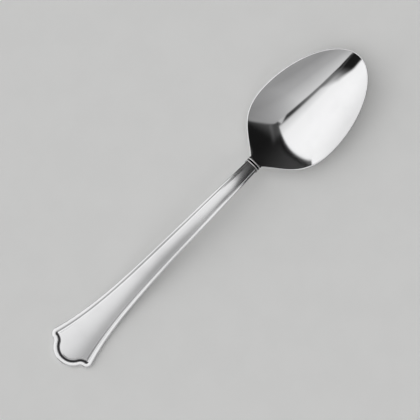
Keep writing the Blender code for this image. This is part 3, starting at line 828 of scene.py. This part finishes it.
class Shade:
    """A shader socket that can be used in sums."""

    def __init__(self, tree, socket=None):
        self.tree = tree
        self.socket = socket

    def node(self, kind, settings=None, inputs=None, output=0):
        """Add any node: its settings first, then the values or links of its sockets."""
        made = self.tree.nodes.new(kind)
        for name, value in (settings or {}).items():
            setattr(made, name, value)
        for name, value in (inputs or {}).items():
            if isinstance(value, Shade):
                value.feed(made, name)
            else:
                made.inputs[name].default_value = value
        return Shade(self.tree, made.outputs[output])

    def feed(self, node, name):
        """Link this socket into a node."""
        self.tree.links.new(self.socket, node.inputs[name])

    def math(self, operation, first, second=0.0):
        """One Math node."""
        return self.node("ShaderNodeMath", {"operation": operation}, {0: first, 1: second})

    def __add__(self, other):
        return self.math("ADD", self, other)

    def __radd__(self, other):
        return self.math("ADD", other, self)

    def __sub__(self, other):
        return self.math("SUBTRACT", self, other)

    def __rsub__(self, other):
        return self.math("SUBTRACT", other, self)

    def __mul__(self, other):
        return self.math("MULTIPLY", self, other)

    def __rmul__(self, other):
        return self.math("MULTIPLY", other, self)

    def __truediv__(self, other):
        return self.math("DIVIDE", self, other)

    def __rtruediv__(self, other):
        return self.math("DIVIDE", other, self)

    def root(self):
        """Square root."""
        return self.math("SQRT", self)

    def highest(self, other):
        """The larger of two values."""
        return self.math("MAXIMUM", self, other)

    def step(self, start, end, low=0.0, high=1.0):
        """Smooth step from one value to another."""
        return self.ramp("SMOOTHSTEP", start, end, low, high)

    def line(self, start, end, low=0.0, high=1.0):
        """Straight ramp from one value to another, held at its ends."""
        return self.ramp("LINEAR", start, end, low, high)

    def ramp(self, kind, start, end, low, high):
        """One Map Range node."""
        span = {"From Min": start, "From Max": end, "To Min": low, "To Max": high}
        return self.node("ShaderNodeMapRange", {"interpolation_type": kind}, {"Value": self, **span})

    def ridge(self, half_width):
        """Soft ridge about zero."""
        return (1 - self * self * (1 / half_width ** 2)).highest(0.0)

    def mix(self, factor, first, second):
        """Mix of two colours."""
        colours = {MIX_FACTOR: factor, MIX_FIRST: first, MIX_SECOND: second}
        return self.node("ShaderNodeMix", {"data_type": "RGBA"}, colours, output=MIX_RESULT)


def solid(value):
    """Colour with full opacity."""
    return (*value, 1.0)


def faded(value, part):
    """A part of a colour."""
    return [part * channel for channel in value]


def new_material(name):
    """Material, its shader node, and a start for the nodes that feed it."""
    material = bpy.data.materials.new(name)
    material.use_nodes = True
    tree = material.node_tree
    return material, tree.nodes["Principled BSDF"], Shade(tree)


def polished_steel(name, finish, polish, hairlines):
    """Polished steel with hairlines along the piece, a faint haze, painted shade in the grooves and a
    brushed field painted darker as shade.
    """
    material, shader, shade = new_material(name)
    place = shade.node("ShaderNodeTexCoord", output="Object")
    drawn_out = shade.node("ShaderNodeMapping", None, {"Vector": place, "Scale": HAIRLINE_SCALE})
    grain = {"Scale": 1.0, "Detail": HAIRLINE_DETAIL, "Roughness": HAIRLINE_ROUGHNESS}
    hairline = shade.node("ShaderNodeTexNoise", None, {"Vector": drawn_out, **grain})
    cloud = {"Scale": HAZE_SCALE, "Detail": HAZE_DETAIL}
    haze = shade.node("ShaderNodeTexNoise", None, {"Vector": place, **cloud}).step(*HAZE_EDGES)
    groove = shade.node("ShaderNodeAttribute", {"attribute_name": "groove"}, output="Fac")
    field = shade.node("ShaderNodeAttribute", {"attribute_name": "field"}, output="Fac")
    along = shade.node("ShaderNodeSeparateXYZ", None, {"Vector": place}, output="X")
    # Painted shade in the grooves: a near-black colour there, with a little extra roughness
    shade_and_dulling = groove.step(*GROOVE_EDGES) * GROOVE_TONE
    worn_mirror = solid(faded(finish.mirror, finish.worn))
    worn_satin_and_shade = solid(faded(finish.satin_and_shade, finish.worn))
    # The field is brushed, and its darker colour is painted shade
    fresh = shade.mix(field, solid(finish.mirror), solid(finish.satin_and_shade))
    worn = shade.mix(field, worn_mirror, worn_satin_and_shade)
    tone = shade.mix(haze * HAZE_TONE, fresh, worn)
    tone = shade.mix(shade_and_dulling, tone, solid(finish.groove_shade))
    brush = along.step(finish.held_from, finish.held_to, finish.held_brush, finish.neck_brush)
    roughness = polish + field * brush + haze * (HAZE_DULLING * polish)
    roughness = roughness + (hairline - HAIRLINE_MIDDLE) * hairlines + shade_and_dulling * GROOVE_DULLING
    tone.feed(shader, "Base Color")
    roughness.feed(shader, "Roughness")
    shader.inputs["Metallic"].default_value = 1.0
    relief = {"Strength": HAIRLINE_STRENGTH, "Distance": HAIRLINE_DEPTH, "Height": hairline}
    shade.node("ShaderNodeBump", None, relief).feed(shader, "Normal")
    return material


class SPOON_OT_handle(Operator):
    """Build the handle with its lobed end, moulded border and crowned field"""

    bl_idname = "spoon.handle"
    bl_label = "Handle"

    def execute(self, context):
        shape = SpoonShape(context.scene)
        ribs = [shape.handle_rib(*spot) for spot in shape.handle_outline()]
        piece = lay_sheet("handle_polished", [[spot[0] for spot in rib] for rib in ribs])
        for index, name in ((1, "groove"), (2, "field")):
            paint(piece, name, [spot[index] for rib in ribs for spot in rib])
        close_half(piece, shape, -1)
        combine(piece, socket_bar(shape), "DIFFERENCE")
        finish_piece(piece, "handle", HANDLE_HAIRLINES)
        return {"FINISHED"}


class SPOON_OT_bowl(Operator):
    """Build the bowl with its rim, heel and tang"""

    bl_idname = "spoon.bowl"
    bl_label = "Bowl"

    def execute(self, context):
        shape = SpoonShape(context.scene)
        joint, side = shape.joint, shape.side
        piece = lay_sheet("bowl_polished", [shape.bowl_rib(*spot) for spot in shape.bowl_outline()])
        close_half(piece, shape, 1)
        shoulder = side.collar_length / 2 + side.joint_gap
        start = -shoulder - joint.tang_grip
        end = shoulder + joint.tang_root
        tang = add_bar("tang", shape, start, end, joint.tang_width, joint.tang_height, joint.tang_chamfer)
        combine(piece, tang, "UNION")
        finish_piece(piece, "bowl", BOWL_HAIRLINES)
        return {"FINISHED"}


class SPOON_OT_collar(Operator):
    """Build the collar, an oval ring with two fine beads"""

    bl_idname = "spoon.collar"
    bl_label = "Collar"

    def execute(self, context):
        shape = SpoonShape(context.scene)
        half_width = shape.bowl.neck_width / 2
        half_height = shape.side.neck_depth / 2
        length = shape.side.collar_length
        clear_selection()
        bpy.ops.mesh.primitive_circle_add(vertices=COLLAR_SIDES, radius=1.0, fill_type="NGON")
        piece = bpy.context.object
        piece.name = "collar_polished"
        piece.data.name = "collar_polished"
        power = 2 / shape.joint.squareness
        for vertex in piece.data.vertices:
            y = math.copysign(abs(vertex.co.x) ** power, vertex.co.x) * half_width
            z = math.copysign(abs(vertex.co.y) ** power, vertex.co.y) * half_height
            vertex.co = Vector((-length / 2, y, z))
        bpy.ops.object.mode_set(mode="EDIT")
        bpy.ops.mesh.select_all(action="SELECT")
        steps = 2 * COLLAR_BEAD_STEPS
        proud = 0.0
        for step in range(1, steps + 1):
            bpy.ops.mesh.extrude_region_move(TRANSFORM_OT_translate={"value": (length / steps, 0.0, 0.0)})
            wanted = shape.joint.bead_height * shape.bead_share(length * (step / steps - 0.5))
            wider = (half_width + wanted) / (half_width + proud)
            taller = (half_height + wanted) / (half_height + proud)
            bpy.ops.transform.resize(value=(1.0, wider, taller), center_override=(0.0, 0.0, 0.0))
            proud = wanted
        bpy.ops.mesh.select_all(action="SELECT")
        bpy.ops.mesh.normals_make_consistent(inside=False)
        bpy.ops.object.mode_set(mode="OBJECT")
        # The valleys between the beads take the painted shade of a groove
        paint(piece, "groove", [1 - shape.bead_share(vertex.co.x) for vertex in piece.data.vertices])
        piece.matrix_world = shape.joint_frame(0.0, -half_height)
        bpy.ops.object.transform_apply(location=True, rotation=True, scale=True)
        combine(piece, socket_bar(shape), "DIFFERENCE")
        finish_piece(piece, "collar", COLLAR_HAIRLINES)
        return {"FINISHED"}


def panel_light(along, across):
    """Light from overhead, by the leans along X and Y: two panels, the slot between them and a dim room."""
    # The slot widens towards the handle
    top = along.line(*SLOT_TOP) + along.step(*SLOT_TOP_RISE)
    blur = along.line(*SLOT_TOP_BLUR) - along.line(*SLOT_TOP_SHARPER)
    foot = along.line(*SLOT_FOOT) - along.line(*SLOT_FOOT_FALL) - along.line(*SLOT_FOOT_STEEP)
    in_bright = ((across - top) / blur).step(-1.0, 1.0)
    in_grey = (foot - across).step(*GREY_EDGE_BLUR)
    # Both panels end in a curve towards the bowl's lip
    beside = across - BOW_MIDDLE
    bright_end = (BOW_REACH - (beside * beside * BOW_CURVE + BOW_ROUND).root()).highest(BOW_LEAST)
    grey_end = across.line(*GREY_END) + across.line(*GREY_END_FAR)
    in_bright = in_bright * (bright_end - along).step(*BRIGHT_END_BLUR)
    in_grey = in_grey * (grey_end - along).step(*GREY_END_BLUR)
    bright = across.line(*BRIGHT_LEVEL) + across.line(*BRIGHT_RISE) - across.line(*BRIGHT_FALL)
    grey = (across.line(*GREY_LEVEL) - across.line(*GREY_FALL)) * along.line(*GREY_FADE)
    darkening = along + (across + SLOT_DARK_FROM) * SLOT_DARK_SLANT
    slot = along.step(*SLOT_LEVEL) * darkening.step(*SLOT_DARK)
    fan = across.step(*FAN_ACROSS) * along.step(*FAN_START) * along.step(*FAN_END)
    from_streak = across + STREAK_FROM + along.line(*STREAK_BEND)
    streak = from_streak.ridge(STREAK_HALF_WIDTH) * along.step(*STREAK_LEVEL)
    bridge = (along - BRIDGE_ALONG - (across + BRIDGE_FROM) * BRIDGE_SLANT).step(*BRIDGE_LEVEL)
    between = (slot + fan + streak + bridge) * along.step(*SLOT_END)
    near = along.step(*NEAR_START) * along.step(*NEAR_END) * across.step(*NEAR_LEVEL)
    from_glint = along - GLINT_ALONG - (across + GLINT_FROM) * GLINT_SLANT
    glint = from_glint.ridge(GLINT_HALF_WIDTH) * across.step(*GLINT_START) * across.step(*GLINT_LEVEL)
    gap = (between + near + glint + along.step(*FAR_LEVEL)) * (1 - in_bright) * (1 - in_grey)
    room = across.step(*ROOM_LEVEL) * (along - bright_end).step(*ROOM_EDGE)
    return bright * in_bright + grey * in_grey + gap + room


def soft_studio(world):
    """Soft panels overhead and a pale horizon."""
    world.use_nodes = True
    tree = world.node_tree
    tree.nodes.clear()
    shade = Shade(tree)
    ray = shade.node("ShaderNodeTexCoord", output="Generated")
    x, y, z = [shade.node("ShaderNodeSeparateXYZ", None, {"Vector": ray}, output=axis) for axis in "XYZ"]
    rise = z.highest(LEAST_RISE)
    horizon = HORIZON_LEVEL + y * HORIZON_ACROSS - x * HORIZON_ALONG
    overhead = z.step(*OVERHEAD)
    light = panel_light(x / rise, y / rise) * overhead + horizon * (1 - overhead)
    glow = shade.node("ShaderNodeBackground", None, {"Strength": light, "Color": solid((1.0, 1.0, 1.0))})
    glow.feed(tree.nodes.new("ShaderNodeOutputWorld"), "Surface")


def matte_floor(settings):
    """Pale matt floor with a barely visible mottle."""
    material, shader, shade = new_material("pale floor")
    place = shade.node("ShaderNodeTexCoord", output="Object")
    cloud = {"Scale": MOTTLE_SCALE, "Detail": MOTTLE_DETAIL}
    mottle = shade.node("ShaderNodeTexNoise", None, {"Vector": place, **cloud}).step(*MOTTLE_EDGES)
    tone = shade.mix(mottle, solid(settings.floor), solid(faded(settings.floor, MOTTLE_TONE)))
    tone.feed(shader, "Base Color")
    shader.inputs["Roughness"].default_value = FLOOR_ROUGHNESS
    shader.inputs["Specular IOR Level"].default_value = FLOOR_GLOSS
    return material


class SPOON_OT_studio(Operator):
    """Set the floor, the light and the camera"""

    bl_idname = "spoon.studio"
    bl_label = "Studio"

    def execute(self, context):
        scene = context.scene
        settings = scene.spoon_studio
        clear_selection()
        bpy.ops.mesh.primitive_plane_add(size=FLOOR_SIZE, location=(0.0, 0.0, CAD_BOX[0].z))
        floor = bpy.context.object
        floor.name = "floor"
        floor.data.materials.append(matte_floor(settings))
        if scene.world is None:
            scene.world = bpy.data.worlds.new("studio")
        soft_studio(scene.world)
        bpy.ops.object.camera_add(
            location=(settings.view_x, settings.view_y, settings.camera_height),
            rotation=(0.0, 0.0, settings.view_turn),
        )
        camera = bpy.context.object
        camera.data.lens = camera.data.sensor_width * settings.camera_height / settings.frame_width
        camera.data.clip_end = CAMERA_REACH
        scene.camera = camera
        scene.view_settings.view_transform = "Standard"
        return {"FINISHED"}


class SPOON_PT_panel(Panel):
    """Sizes, finish and build steps of the spoon"""

    bl_idname = "SPOON_PT_panel"
    bl_label = "Dessert spoon"
    bl_space_type = "VIEW_3D"
    bl_region_type = "UI"
    bl_category = "Spoon"

    def draw(self, context):
        for operator in OPERATORS:
            self.layout.operator(operator.bl_idname)
        for name, group in GROUPS.items():
            box = self.layout.box()
            box.label(text=group.__doc__)
            for entry in group.__annotations__:
                box.prop(getattr(context.scene, name), entry)


GROUPS = {
    "spoon_side": SideViewSizes,
    "spoon_handle": HandleSizes,
    "spoon_bowl": BowlSizes,
    "spoon_joint": JointSizes,
    "spoon_finish": SteelFinish,
    "spoon_studio": StudioSettings,
}
OPERATORS = [SPOON_OT_handle, SPOON_OT_collar, SPOON_OT_bowl, SPOON_OT_studio]


def register():
    for name, group in GROUPS.items():
        bpy.utils.register_class(group)
        setattr(bpy.types.Scene, name, PointerProperty(type=group))
    for cls in OPERATORS + [SPOON_PT_panel]:
        bpy.utils.register_class(cls)


def unregister():
    for cls in [SPOON_PT_panel] + OPERATORS:
        bpy.utils.unregister_class(cls)
    for name, group in GROUPS.items():
        delattr(bpy.types.Scene, name)
        bpy.utils.unregister_class(group)


def main():
    register()
    bpy.ops.spoon.handle()
    bpy.ops.spoon.collar()
    bpy.ops.spoon.bowl()
    bpy.ops.spoon.studio()
    clear_selection()


if __name__ == "__main__":
    main()
